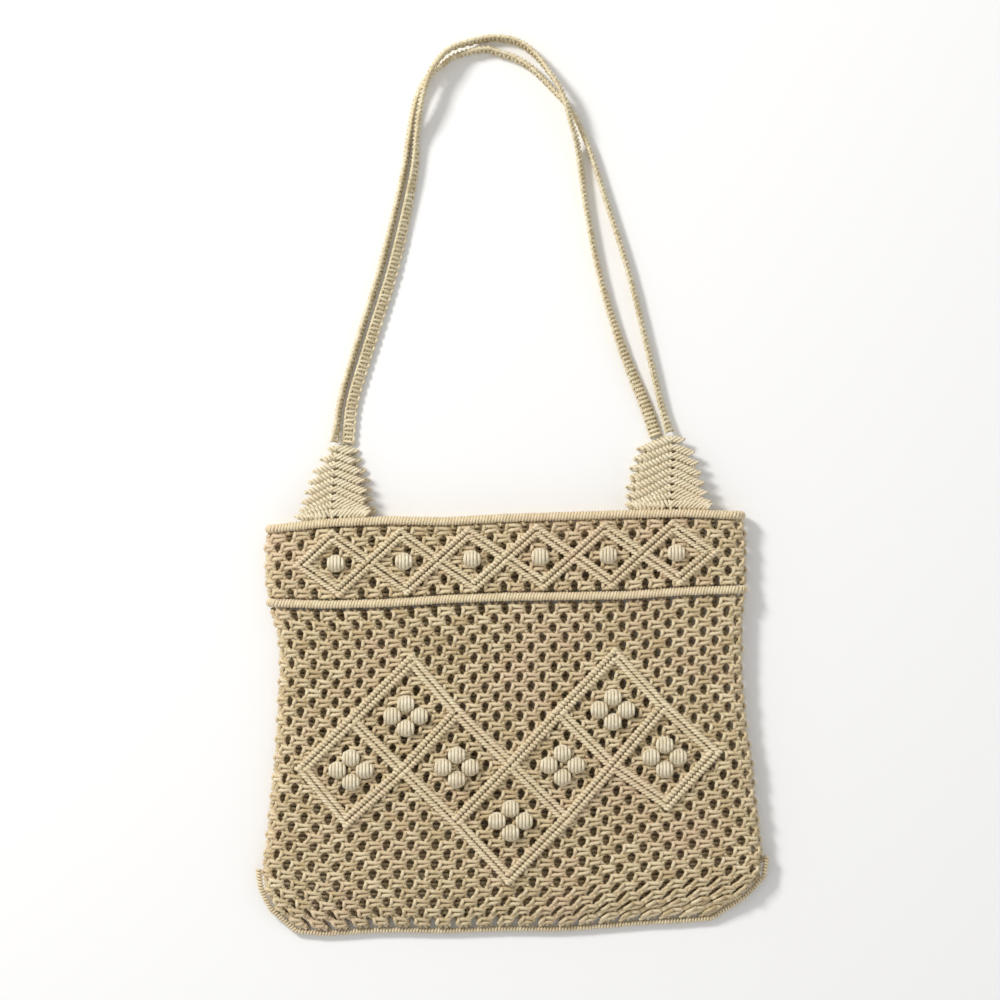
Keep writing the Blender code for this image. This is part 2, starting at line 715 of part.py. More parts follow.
def lozenge_cells():
    cells = []
    for number in range(LOZENGES):
        after = number + 1
        cells.append((f"middle_{number}", f"top_{number}", f"middle_{after}", f"bottom_{after}"))
    return cells


def lozenge_border():
    border = []
    for number in range(LOZENGES):
        border += [f"middle_{number}", f"top_{number}"]
    for number in range(LOZENGES, 0, -1):
        border += [f"middle_{number}", f"bottom_{number}"]
    return border


def cell_centre(places, cell):
    xs = [places[key][0] for key in cell]
    ys = [places[key][1] for key in cell]
    return sum(xs) / len(xs), sum(ys) / len(ys)


def net_pierced(diamond_outline):
    """Which cells of the lower net are cut: a diagonal net, clear of the relief, thinned on the back."""

    def pierced(level, step, corners):
        if level < 1 or level >= len(NET_ROWS) - 2:
            return False
        if step < COLUMNS:
            centre = sum((corner.co for corner in corners), Vector()) / 4
            return (level + step) % 2 == 0 and not inside((centre.x, centre.y), diamond_outline)
        back_first = COLUMNS + ARC_STEPS
        if back_first <= step < back_first + COLUMNS:
            return (level + step) % 2 == 0 and level % 2 == 0
        return False

    return pierced


def never_pierced(level, step, corners):
    return False


def rest_at_origin(things):
    """Move the bag so that its box stands with the middle of its lower side on the origin."""
    corners = [vertex.co for thing in things for vertex in thing.data.vertices]
    low = Vector([min(corner[axis] for corner in corners) for axis in range(3)])
    high = Vector([max(corner[axis] for corner in corners) for axis in range(3)])
    for thing in things:
        thing.location = (-(low.x + high.x) / 2, -(low.y + high.y) / 2, -low.z)


def build():
    clear_scene()
    net_cord = cord_material("net_cord", (0.66, 0.55, 0.37), 0.75)
    ridge_cord = cord_material("ridge_cord", (0.72, 0.62, 0.44), 0.70)
    berry_cord = cord_material("berry_cord", (0.70, 0.60, 0.42), 0.72)
    tab_cord = cord_material("tab_cord", (0.74, 0.66, 0.49), 0.70)
    strap_cord = cord_material("strap_cord", (0.71, 0.62, 0.45), 0.72)
    upright = Vector((0.0, 1.0, 0.0))
    out_of_floor = Vector((0.0, 0.0, 1.0))

    diamonds = diamond_places()
    outline = offset_outline([diamonds[key] for key in DIAMOND_BORDER], -RELIEF_WIDTH - NET_GAP)
    lozenges = lozenge_places()
    things = [
        knotted_wall("lower_net", NET_ROWS, net_top, bottom_line, net_cord, True, net_pierced(outline)),
        knotted_wall("upper_band", BAND_ROWS, band_top, band_bottom, net_cord, False, never_pierced),
        rope("rim_ridge", ridge_path(1.0, 0.995, rim_line), RIDGE, upright, True, ridge_cord),
        rope("band_ridge", ridge_path(0.997, 1.007, band_line), RIDGE, upright, True, ridge_cord),
        rope("hem_ridge", hem_path(), HEM, out_of_floor, False, ridge_cord),
        relief("lower_diamond_ridges", diamonds, DIAMOND_CELLS, DIAMOND_BORDER, ridge_cord),
        relief("upper_lozenge_ridges", lozenges, lozenge_cells(), lozenge_border(), ridge_cord),
    ]
    for number, cell in enumerate(lozenge_cells(), start=1):
        x, y = cell_centre(lozenges, cell)
        things.append(bobble(f"band_bobble_{number}", x, y, berry_cord))
    for number, cell in enumerate(DIAMOND_CELLS, start=1):
        x, y = cell_centre(diamonds, cell)
        for place, (across, up) in enumerate(CLUSTER, start=1):
            name = f"diamond_bobble_{number}_{place}"
            things.append(bobble(name, x + across * BOBBLE_WIDTH, y + up * BOBBLE_WIDTH, berry_cord))
    for layer in ("front", "back"):
        things.append(tab(f"{layer}_tab_left", -1, LEFT_TAB, layer, tab_cord))
        things.append(tab(f"{layer}_tab_right", 1, RIGHT_TAB, layer, tab_cord))
    front_route, back_route = strap_routes()
    things.append(strap("front_strap", front_route, strap_cord))
    things.append(strap("back_strap", back_route, strap_cord))
    rest_at_origin(things)


build()
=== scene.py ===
"""Looks of the macrame shoulder bag: every knot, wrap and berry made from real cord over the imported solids.

X runs right, Y from the hem to the straps, Z out of the front. The bag lies on its back on the floor.
"""
import math

import bpy
import numpy as np
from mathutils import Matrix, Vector


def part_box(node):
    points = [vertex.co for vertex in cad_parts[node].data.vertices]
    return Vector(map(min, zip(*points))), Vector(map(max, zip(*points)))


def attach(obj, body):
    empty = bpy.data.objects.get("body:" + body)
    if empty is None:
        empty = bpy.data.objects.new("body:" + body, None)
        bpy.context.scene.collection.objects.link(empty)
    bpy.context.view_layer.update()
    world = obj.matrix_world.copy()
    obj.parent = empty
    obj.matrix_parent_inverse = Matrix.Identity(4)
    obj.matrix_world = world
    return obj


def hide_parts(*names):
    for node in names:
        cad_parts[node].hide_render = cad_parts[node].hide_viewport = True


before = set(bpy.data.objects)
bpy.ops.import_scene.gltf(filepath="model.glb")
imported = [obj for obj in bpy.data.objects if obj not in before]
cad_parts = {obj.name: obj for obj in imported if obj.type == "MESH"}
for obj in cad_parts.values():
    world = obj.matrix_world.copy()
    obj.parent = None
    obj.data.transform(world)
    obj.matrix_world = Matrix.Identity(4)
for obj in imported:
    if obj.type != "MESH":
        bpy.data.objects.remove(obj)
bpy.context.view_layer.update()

MM = 0.001
GAP = 0.0003

# The photograph's frame and the camera above the bag
PHOTO_SIDE = 1000
PIXEL = 0.00069
PHOTO_MIDDLE_X = 506
PHOTO_RIM_Y = 518
CAMERA_HEIGHT = 2.40
SENSOR = 36.0
FOCUS_LEVEL = 0.014

# Sizes of the body, as in the part's source
BODY_WIDTH = 0.3330
BAND_HEIGHT = 0.0545
NET_HEIGHT = 0.2277
BODY_DEPTH = 0.0180
CROWN = 0.0015
WALL = 0.0040
RIDGE = 0.0065
HEM = 0.0045
HALF = BODY_WIDTH / 2

# The net: knots round the body, half rows down it, and the cord
COLUMNS = 42
BAND_HALF_ROWS = 7
NET_HALF_ROWS = 33
COLUMN_PITCH = 0.0161
ROW_PITCH = 0.0067
NET_CORD = 0.00130
NET_SINK = 0.0029
KNOT_THICKNESS = 0.0056

# Reliefs and berry knots
RELIEF_WIDTH = 0.0043
LOZENGES = 6
LOZENGE_ROW = 0.2815
BOBBLE_WIDTH = 0.0114
BOBBLE_HEIGHT = 0.0065

# Tabs and straps
TAB_SPACING = 0.2346
TAB_OFFSET = -0.0021
TAB_WIDTH = 0.0560
TAB_HEIGHT = 0.0505
TAB_THICKNESS = 0.0040
TAB_RIBS = 9
TAB_RIB_HEIGHT = 0.0007
BACK_TAB_SHIFT = 0.0035
STRAP_RISE = 0.2800
STRAP_WIDTH = 0.0095
STRAP_THICKNESS = 0.0042
STRAP_KNOT = 0.0060
STRAP_CORD = 0.00100

# across is a share of half the body's width; the rises are shares of BAND_HEIGHT
LINES = [
    dict(across=-1.00, rim=-0.150, band=-0.070, bottom=0.000),
    dict(across=-0.75, rim=-0.063, band=-0.095, bottom=-0.063),
    dict(across=-0.50, rim=-0.030, band=-0.076, bottom=-0.013),
    dict(across=-0.25, rim=-0.042, band=-0.025, bottom=-0.030),
    dict(across=0.00, rim=0.000, band=0.004, bottom=0.000),
    dict(across=0.25, rim=0.025, band=0.013, bottom=-0.006),
    dict(across=0.50, rim=0.050, band=0.025, bottom=0.063),
    dict(across=0.75, rim=0.063, band=0.076, bottom=0.108),
    dict(across=1.00, rim=0.030, band=0.100, bottom=0.165),
]

# down is a share of the zone's height; left and right are shares of HALF; depth of BODY_DEPTH
NET_ROWS = [
    dict(down=0.00, left=0.990, right=1.000, depth=1.00),
    dict(down=0.06, left=0.957, right=0.985, depth=1.00),
    dict(down=0.13, left=0.945, right=0.985, depth=1.00),
    dict(down=0.20, left=0.942, right=0.985, depth=1.00),
    dict(down=0.28, left=0.950, right=0.988, depth=1.00),
    dict(down=0.36, left=0.954, right=0.996, depth=1.00),
    dict(down=0.44, left=0.960, right=1.010, depth=1.00),
    dict(down=0.52, left=0.970, right=1.026, depth=1.00),
    dict(down=0.60, left=0.982, right=1.036, depth=1.00),
    dict(down=0.68, left=0.992, right=1.047, depth=1.00),
    dict(down=0.76, left=1.005, right=1.060, depth=1.00),
    dict(down=0.82, left=1.015, right=1.070, depth=1.00),
    dict(down=0.88, left=1.005, right=1.060, depth=0.97),
    dict(down=0.94, left=0.965, right=0.985, depth=0.80),
    dict(down=1.00, left=0.865, right=0.850, depth=0.42),
]
HEM_FIRST_ROW = 11
BAND_ROWS = [
    dict(down=0.00, left=1.000, right=0.990, depth=1.00),
    dict(down=0.35, left=1.000, right=1.000, depth=1.00),
    dict(down=0.70, left=1.000, right=1.000, depth=1.00),
    dict(down=1.00, left=0.990, right=1.000, depth=1.00),
]

# Crossings of the diamond ridges: shares of HALF across and of NET_HEIGHT down
DIAMOND_NODES = dict(
    a1=(-0.841, 0.518), a2=(-0.638, 0.373), a3=(-0.390, 0.191),
    b1=(-0.659, 0.676), b2=(-0.427, 0.524), b3=(-0.203, 0.348),
    c2=(-0.207, 0.679), c3=(0.021, 0.506), c4=(0.220, 0.348), c5=(0.452, 0.173),
    d2=(0.012, 0.848), d3=(0.249, 0.670), d4=(0.443, 0.509), d5=(0.651, 0.330),
    e4=(0.667, 0.624), e5=(0.862, 0.470),
)
DIAMOND_CELLS = [
    ("a1", "a2", "b2", "b1"),
    ("a2", "a3", "b3", "b2"),
    ("b2", "b3", "c3", "c2"),
    ("c2", "c3", "d3", "d2"),
    ("c3", "c4", "d4", "d3"),
    ("c4", "c5", "d5", "d4"),
    ("d4", "d5", "e5", "e4"),
]
DIAMOND_BORDER = ["a1", "a2", "a3", "b3", "c3", "c4", "c5", "d5", "e5", "e4", "d4", "d3", "d2", "c2", "b2", "b1"]
CLUSTER = [(0.0, 0.73), (-0.82, 0.0), (0.82, 0.0), (0.0, -0.73)]

# Tab outlines: height is a share of TAB_HEIGHT, the rest are shares of half of TAB_WIDTH from its axis
LEFT_TAB = [
    dict(height=0.00, left=-0.93, right=0.93, centre=-0.02),
    dict(height=0.12, left=-0.79, right=0.85, centre=-0.01),
    dict(height=0.27, left=-0.71, right=0.80, centre=0.00),
    dict(height=0.44, left=-0.63, right=0.75, centre=0.02),
    dict(height=0.60, left=-0.49, right=0.65, centre=0.04),
    dict(height=0.72, left=-0.36, right=0.56, centre=0.06),
    dict(height=0.86, left=-0.16, right=0.47, centre=0.09),
    dict(height=1.00, left=-0.06, right=0.43, centre=0.12),
]
RIGHT_TAB = [
    dict(height=0.00, left=-1.02, right=0.96, centre=-0.06),
    dict(height=0.12, left=-1.01, right=0.84, centre=-0.05),
    dict(height=0.27, left=-0.98, right=0.77, centre=-0.04),
    dict(height=0.44, left=-0.93, right=0.71, centre=-0.03),
    dict(height=0.60, left=-0.84, right=0.63, centre=-0.01),
    dict(height=0.72, left=-0.76, right=0.53, centre=0.00),
    dict(height=0.86, left=-0.66, right=0.37, centre=0.01),
    dict(height=1.00, left=-0.56, right=0.10, centre=0.01),
]
RIB_SLOPE = math.tan(math.radians(27.0))

# The straps' common route, as in the part's source
STRAP_ROUTE = [
    dict(across=0.000, up=0.000, apart=0.000, spread=1.00, front_turn=50, back_turn=4, over=0.00, seat=1.0),
    dict(across=0.005, up=0.034, apart=0.000, spread=1.00, front_turn=74, back_turn=16, over=0.00, seat=0.5),
    dict(across=0.019, up=0.113, apart=0.000, spread=1.00, front_turn=80, back_turn=30, over=0.00, seat=0.0),
    dict(across=0.073, up=0.255, apart=0.001, spread=1.00, front_turn=80, back_turn=30, over=0.00, seat=0.0),
    dict(across=0.146, up=0.443, apart=0.001, spread=1.00, front_turn=80, back_turn=36, over=0.00, seat=0.0),
    dict(across=0.206, up=0.651, apart=0.000, spread=1.00, front_turn=82, back_turn=62, over=0.00, seat=0.0),
    dict(across=0.221, up=0.749, apart=0.000, spread=1.00, front_turn=88, back_turn=82, over=0.10, seat=0.0),
    dict(across=0.234, up=0.817, apart=0.000, spread=1.00, front_turn=90, back_turn=88, over=0.70, seat=0.0),
    dict(across=0.251, up=0.866, apart=0.000, spread=0.75, front_turn=90, back_turn=88, over=1.00, seat=0.0),
    dict(across=0.276, up=0.905, apart=0.000, spread=0.00, front_turn=90, back_turn=88, over=1.00, seat=0.0),
    dict(across=0.310, up=0.935, apart=0.000, spread=-0.75, front_turn=90, back_turn=88, over=1.00, seat=0.0),
    dict(across=0.353, up=0.960, apart=-0.001, spread=-1.00, front_turn=88, back_turn=85, over=0.70, seat=0.0),
    dict(across=0.443, up=0.977, apart=-0.004, spread=-1.00, front_turn=80, back_turn=78, over=0.00, seat=0.0),
    dict(across=0.495, up=0.973, apart=-0.016, spread=-1.00, front_turn=76, back_turn=75, over=0.00, seat=0.0),
    dict(across=0.548, up=0.959, apart=-0.020, spread=-1.00, front_turn=78, back_turn=75, over=0.00, seat=0.0),
    dict(across=0.596, up=0.931, apart=-0.014, spread=-1.00, front_turn=84, back_turn=82, over=0.25, seat=0.0),
    dict(across=0.635, up=0.895, apart=-0.004, spread=-1.00, front_turn=88, back_turn=90, over=0.85, seat=0.0),
    dict(across=0.668, up=0.862, apart=0.000, spread=-0.75, front_turn=90, back_turn=96, over=1.00, seat=0.0),
    dict(across=0.697, up=0.826, apart=0.000, spread=0.00, front_turn=90, back_turn=100, over=1.00, seat=0.0),
    dict(across=0.720, up=0.786, apart=0.000, spread=0.80, front_turn=90, back_turn=102, over=1.00, seat=0.0),
    dict(across=0.741, up=0.741, apart=0.002, spread=1.00, front_turn=92, back_turn=103, over=0.70, seat=0.0),
    dict(across=0.759, up=0.693, apart=0.012, spread=1.00, front_turn=95, back_turn=103, over=0.10, seat=0.0),
    dict(across=0.797, up=0.561, apart=0.039, spread=1.00, front_turn=100, back_turn=103, over=0.00, seat=0.0),
    dict(across=0.848, up=0.402, apart=0.059, spread=1.00, front_turn=103, back_turn=106, over=0.00, seat=0.0),
    dict(across=0.909, up=0.228, apart=0.040, spread=1.00, front_turn=105, back_turn=130, over=0.00, seat=0.0),
    dict(across=0.968, up=0.080, apart=0.008, spread=1.00, front_turn=112, back_turn=158, over=0.00, seat=0.0),
    dict(across=0.988, up=0.030, apart=0.002, spread=1.00, front_turn=122, back_turn=168, over=0.00, seat=0.5),
    dict(across=1.000, up=0.000, apart=0.000, spread=1.00, front_turn=132, back_turn=176, over=0.00, seat=1.0),
]

# One square knot of the net in millimetres, x right, y up, z out: the cord that makes the two bars,
# the cord that passes behind and shows as a loop at the left, and one of the two core cords
KNOT_BARS = [
    (-4.83, 2.39, 0.0), (-4.2, 2.05, 1.0), (-2.2, 1.80, 1.6), (0.2, 1.60, 1.75), (2.6, 1.35, 1.5),
    (4.3, 0.90, 0.6), (4.75, 0.0, 0.1), (4.3, -0.95, 0.6), (2.4, -1.30, 1.5), (0.0, -1.55, 1.75),
    (-2.4, -1.80, 1.6), (-4.2, -2.05, 0.9), (-4.83, -2.39, 0.0),
]
KNOT_LOOP = [
    (4.83, 2.39, 0.0), (4.9, 1.90, 1.0), (4.3, 1.5, -0.2), (2.6, 1.5, -1.5), (0.0, 1.5, -1.7), (-2.8, 1.5, -1.4),
    (-4.7, 1.75, 0.0), (-4.1, 1.70, 2.0), (-4.7, 0.0, 2.45), (-5.1, -1.45, 1.9), (-4.7, -1.9, 0.0),
    (-2.6, -1.5, -1.5), (0.0, -1.5, -1.7), (2.8, -1.5, -1.4), (4.7, -1.6, 0.2), (4.9, -2.0, 1.1), (4.83, -2.39, 0.0),
]
KNOT_CORE = [(-3.23, 4.31, 0.0), (-1.8, 2.9, -0.1), (-1.3, 0.0, 0.0), (-1.8, -2.9, -0.1), (-3.23, -4.31, 0.0)]

# One square knot of a strap in millimetres: x across, y along, z out of its face
SINNET_BARS = [
    (-3.5, 3.0, 0.0), (-3.2, 2.3, 0.7), (-1.9, 1.75, 1.1), (0.0, 1.55, 1.2), (1.9, 1.45, 1.1), (3.5, 0.8, 0.4),
    (3.75, 0.0, 0.2), (3.5, -0.8, 0.4), (1.9, -1.45, 1.1), (0.0, -1.55, 1.2), (-1.9, -1.75, 1.1), (-3.2, -2.3, 0.7),
    (-3.5, -3.0, 0.0),
]
SINNET_LOOP = [
    (3.5, 3.0, 0.0), (3.8, 2.2, 0.8), (3.3, 1.6, -0.3), (1.9, 1.5, -1.1), (0.0, 1.5, -1.15), (-1.9, 1.5, -1.1),
    (-3.7, 1.6, 0.0), (-3.5, 1.0, 1.25), (-3.6, -0.9, 1.25), (-3.7, -1.6, 0.0), (-1.9, -1.5, -1.1),
    (0.0, -1.5, -1.15), (1.9, -1.5, -1.1), (3.4, -1.6, -0.2), (3.8, -2.3, 0.8), (3.5, -3.0, 0.0),
]
SINNET_CORE = [(-1.0, 3.05, 0.0), (-1.0, 0.0, 0.0), (-1.0, -3.05, 0.0)]

random = np.random.default_rng(11)


def column_of(rows, column):
    return np.array([row[column] for row in rows])


def read_table(rows, key, column, at):
    return np.interp(at, column_of(rows, key), column_of(rows, column))


def mix(low, high, share):
    return low + (high - low) * share


def rim_line(x):
    return read_table(LINES, "across", "rim", x / HALF) * BAND_HEIGHT


def band_line(x):
    return read_table(LINES, "across", "band", x / HALF) * BAND_HEIGHT - BAND_HEIGHT


def bottom_line(x):
    return read_table(LINES, "across", "bottom", x / HALF) * BAND_HEIGHT - BAND_HEIGHT - NET_HEIGHT


def crown_height(x):
    share = np.minimum(1.0, np.abs(x) / HALF)
    return CROWN * (1.0 - share * share)


def front_height(x):
    return BODY_DEPTH + crown_height(x)


def net_top(x):
    return band_line(x) - RIDGE / 2 - GAP


def band_top(x):
    return rim_line(x) - RIDGE / 2 - GAP


def band_bottom(x):
    return band_line(x) + RIDGE / 2 + GAP


def on_body(around, down, out, rows, top, bottom):
    """Points on the flattened tube of net: around it (0 to 1 from the front's left end), down it and out of it."""
    left = -HALF * read_table(rows, "down", "left", down)
    right = HALF * read_table(rows, "down", "right", down)
    depth = BODY_DEPTH * read_table(rows, "down", "depth", down)
    radius = depth / 2
    flat = right - left - depth
    fold = math.pi * radius
    travel = (around % 1.0) * 2 * (flat + fold)
    out = out * np.minimum(1.0, 0.48 * depth / KNOT_THICKNESS)
    flat_left = left + radius
    flat_right = right - radius
    right_turn = (travel - flat) / radius
    back_run = travel - flat - fold
    left_turn = (travel - 2 * flat - fold) / radius
    places = [travel < flat, travel < flat + fold, travel < 2 * flat + fold]
    reach = radius + out
    x = np.select(places, [flat_left + travel, flat_right + reach * np.sin(right_turn), flat_right - back_run],
                  flat_left - reach * np.sin(left_turn))
    z = np.select(places, [depth + out, radius + reach * np.cos(right_turn), -out],
                  radius - reach * np.cos(left_turn))
    z = z + crown_height(x) * np.clip((z - radius) / radius, 0.0, 1.0)
    y = mix(top(x), bottom(x), down)
    return np.stack([x, y, z], axis=-1)


class Cords:
    """Gathers round cords and makes one mesh of them."""

    def __init__(self):
        self.points = []
        self.quads = []
        self.ends = []
        self.marks = []
        self.tones = []
        self.count = 0

    def add(self, paths, radius, sides=6, capped=False, tone_spread=1.0):
        """paths is an array of (cords, points, 3); radius one value, or one for each point of each cord."""
        paths = np.asarray(paths, float)
        cords, length = paths.shape[:2]
        ahead = np.concatenate([paths[:, 1:], paths[:, -1:]], axis=1)
        behind = np.concatenate([paths[:, :1], paths[:, :-1]], axis=1)
        run = ahead - behind
        run /= np.linalg.norm(run, axis=2, keepdims=True) + 1e-12
        hint = np.where(np.abs(run[:, :1, 2:]) > 0.8, [[[1.0, 0.0, 0.0]]], [[[0.0, 0.0, 1.0]]])
        side = np.empty_like(paths)
        side[:, 0] = np.cross(run[:, 0], hint[:, 0])
        for index in range(length):
            carried = side[:, max(0, index - 1)]
            carried = carried - run[:, index] * np.sum(carried * run[:, index], axis=1, keepdims=True)
            side[:, index] = carried / (np.linalg.norm(carried, axis=1, keepdims=True) + 1e-12)
        up = np.cross(run, side)
        turns = np.arange(sides) * 2 * math.pi / sides
        radius = np.broadcast_to(np.asarray(radius, float), (cords, length))[:, :, None, None]
        ring = (paths[:, :, None] + radius * (side[:, :, None] * np.cos(turns)[:, None]
                                              + up[:, :, None] * np.sin(turns)[:, None]))
        self.points.append(ring.reshape(-1, 3))
        steps = np.linalg.norm(np.diff(paths, axis=1), axis=2)
        along = np.concatenate([np.zeros((cords, 1)), np.cumsum(steps, axis=1)], axis=1)
        cord, station, turn = np.meshgrid(np.arange(cords), np.arange(length - 1), np.arange(sides), indexing="ij")
        first = self.count + (cord * length + station) * sides
        after = (turn + 1) % sides
        self.quads.append(np.stack([first + turn, first + after, first + sides + after, first + sides + turn],
                                   axis=-1).reshape(-1, 4))
        low = along[cord, station]
        high = along[cord, station + 1]
        start = turn / sides
        stop = (turn + 1) / sides
        marks = np.stack([low, start, low, stop, high, stop, high, start], axis=-1)
        self.marks.append(marks.reshape(-1, 2))
        tone = random.normal(0.5, 0.16 * tone_spread, cords)
        self.tones.append(np.repeat(tone, length * sides))
        if capped:
            starts = self.count + np.arange(cords)[:, None] * length * sides + np.arange(sides)[::-1]
            stops = self.count + (np.arange(cords)[:, None] * length + length - 1) * sides + np.arange(sides)
            self.ends.append(np.concatenate([starts, stops]))
        self.count += ring.size // 3

    def make(self, name, material, nodes):
        """Make the mesh object that stands for the given nodes."""
        points = np.concatenate(self.points) + SHIFT
        faces = [quad_set for quad_set in self.quads] + self.ends
        loops = np.concatenate([face_set.reshape(-1) for face_set in faces])
        totals = np.concatenate([np.full(len(face_set), face_set.shape[1]) for face_set in faces])
        starts = np.concatenate([[0], np.cumsum(totals)[:-1]])
        marks = np.concatenate(self.marks)
        marks = np.concatenate([marks, np.zeros((len(loops) - len(marks), 2))])
        mesh = bpy.data.meshes.new(name)
        mesh.vertices.add(len(points))
        mesh.vertices.foreach_set("co", points.astype(np.float32).reshape(-1))
        mesh.loops.add(len(loops))
        mesh.loops.foreach_set("vertex_index", loops.astype(np.int32))
        mesh.polygons.add(len(totals))
        mesh.polygons.foreach_set("loop_start", starts.astype(np.int32))
        mesh.polygons.foreach_set("loop_total", totals.astype(np.int32))
        mesh.update(calc_edges=True)
        mesh.uv_layers.new(name="cord").data.foreach_set("uv", marks.astype(np.float32).reshape(-1))
        tone = mesh.attributes.new("tone", "FLOAT", "POINT")
        tone.data.foreach_set("value", np.concatenate(self.tones).astype(np.float32))
        mesh.shade_smooth()
        mesh.materials.append(material)
        piece = bpy.data.objects.new(name, mesh)
        bpy.context.scene.collection.objects.link(piece)
        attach(piece, "root")
        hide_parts(*nodes)
        return piece


def cord_material(name, light, deep, warm, roughness):
    """Twisted cotton cord: slow changes of tone, a tone of its own for each cord, and a bump of twisted strands."""
    material = bpy.data.materials.new(name)
    material.use_nodes = True
    tree = material.node_tree
    shader = tree.nodes["Principled BSDF"]
    shader.inputs["Roughness"].default_value = roughness
    shader.inputs["Specular IOR Level"].default_value = 0.22
    shader.inputs["Sheen Weight"].default_value = 0.12
    shader.inputs["Sheen Roughness"].default_value = 0.5
    place = tree.nodes.new("ShaderNodeTexCoord")
    slow = tree.nodes.new("ShaderNodeTexNoise")
    slow.inputs["Scale"].default_value = 26.0
    slow.inputs["Detail"].default_value = 3.0
    quick = tree.nodes.new("ShaderNodeTexNoise")
    quick.inputs["Scale"].default_value = 260.0
    quick.inputs["Detail"].default_value = 2.0
    for noise in (slow, quick):
        tree.links.new(place.outputs["Object"], noise.inputs["Vector"])
    own = tree.nodes.new("ShaderNodeAttribute")
    own.attribute_name = "tone"

    def sum_of(first, second, share):
        node = tree.nodes.new("ShaderNodeMath")
        node.operation = "MULTIPLY_ADD"
        tree.links.new(first, node.inputs[0])
        node.inputs[1].default_value = share
        tree.links.new(second, node.inputs[2])
        return node.outputs[0]

    lean = tree.nodes.new("ShaderNodeMath")
    lean.operation = "MULTIPLY"
    lean.inputs[1].default_value = 0.75
    tree.links.new(quick.outputs["Fac"], lean.inputs[0])
    blend = sum_of(own.outputs["Fac"], lean.outputs[0], 0.6)
    ramp = tree.nodes.new("ShaderNodeValToRGB")
    ramp.color_ramp.elements[0].position = 0.45
    ramp.color_ramp.elements[0].color = (*deep, 1.0)
    ramp.color_ramp.elements[1].position = 0.85
    ramp.color_ramp.elements[1].color = (*light, 1.0)
    tree.links.new(blend, ramp.inputs["Fac"])
    patch = tree.nodes.new("ShaderNodeMapRange")
    patch.inputs["From Min"].default_value = 0.50
    patch.inputs["From Max"].default_value = 0.68
    patch.inputs["To Max"].default_value = 0.55
    tree.links.new(slow.outputs["Fac"], patch.inputs["Value"])
    tint = tree.nodes.new("ShaderNodeMix")
    tint.data_type = "RGBA"
    tree.links.new(patch.outputs["Result"], tint.inputs["Factor"])
    tree.links.new(ramp.outputs["Color"], tint.inputs["A"])
    tint.inputs["B"].default_value = (*warm, 1.0)
    tree.links.new(tint.outputs["Result"], shader.inputs["Base Color"])

    marks = tree.nodes.new("ShaderNodeUVMap")
    marks.uv_map = "cord"
    split = tree.nodes.new("ShaderNodeSeparateXYZ")
    tree.links.new(marks.outputs["UV"], split.inputs["Vector"])
    around = tree.nodes.new("ShaderNodeMath")
    around.operation = "MULTIPLY"
    around.inputs[1].default_value = 3 * 2 * math.pi
    tree.links.new(split.outputs["Y"], around.inputs[0])
    twist = sum_of(split.outputs["X"], around.outputs[0], 2 * math.pi * 3 / 0.0048)
    wave = tree.nodes.new("ShaderNodeMath")
    wave.operation = "SINE"
    tree.links.new(twist, wave.inputs[0])
    fibre = tree.nodes.new("ShaderNodeTexNoise")
    fibre.inputs["Scale"].default_value = 2600.0
    fibre.inputs["Detail"].default_value = 2.0
    tree.links.new(place.outputs["Object"], fibre.inputs["Vector"])
    height = sum_of(wave.outputs[0], fibre.outputs["Fac"], 0.55)
    bump = tree.nodes.new("ShaderNodeBump")
    bump.inputs["Strength"].default_value = 0.55
    bump.inputs["Distance"].default_value = 0.00022
    tree.links.new(height, bump.inputs["Height"])
    tree.links.new(bump.outputs["Normal"], shader.inputs["Normal"])
    return material


def knots_on_body(cords, rows, top, bottom, half_rows, first_down, pitch_down, columns, sides):
    """Square knots in alternating half rows: half_rows and columns say which of them."""
    places = [(row, column) for row in half_rows for column in columns(row)]
    row = np.array([place[0] for place in places], float)
    column = np.array([place[1] for place in places], float)
    count = len(places)
    sway_x = random.normal(0.0, 0.28, count) * MM
    sway_y = random.normal(0.0, 0.22, count) * MM
    rise = random.normal(0.0, 0.18, count) * MM
    lean = random.normal(0.0, 0.05, count)

    def lay(shape, radius, mirror=1.0):
        points = np.array(shape) * MM
        weight = np.sin(np.linspace(0.0, math.pi, len(points)))
        loosen = random.normal(0.0, 0.10, (count, len(points), 3)) * MM * weight[:, None]
        x = points[:, 0] * mirror + weight * (sway_x[:, None] + lean[:, None] * points[:, 1]) + loosen[:, :, 0]
        y = points[:, 1] + weight * (sway_y[:, None] + lean[:, None] * points[:, 0]) + loosen[:, :, 1]
        z = points[:, 2] + weight * rise[:, None] + loosen[:, :, 2]
        around = (column[:, None] + 0.5 * (row[:, None] % 2) + x / COLUMN_PITCH) / COLUMNS
        down = first_down + pitch_down * (row[:, None] - y / ROW_PITCH)
        path = on_body(around, np.clip(down, 0.0, 1.0), z - NET_SINK, rows, top, bottom)
        cords.add(path, radius, sides)

    lay(KNOT_BARS, NET_CORD)
    lay(KNOT_LOOP, NET_CORD)
    lay(KNOT_CORE, NET_CORD)
    lay(KNOT_CORE, NET_CORD, mirror=-1.0)


def front_columns(row):
    """Columns whose knots lie on the front or the outer half of its folds."""
    return range(-1, 20)


def back_columns(row):
    return range(20, COLUMNS - 1)


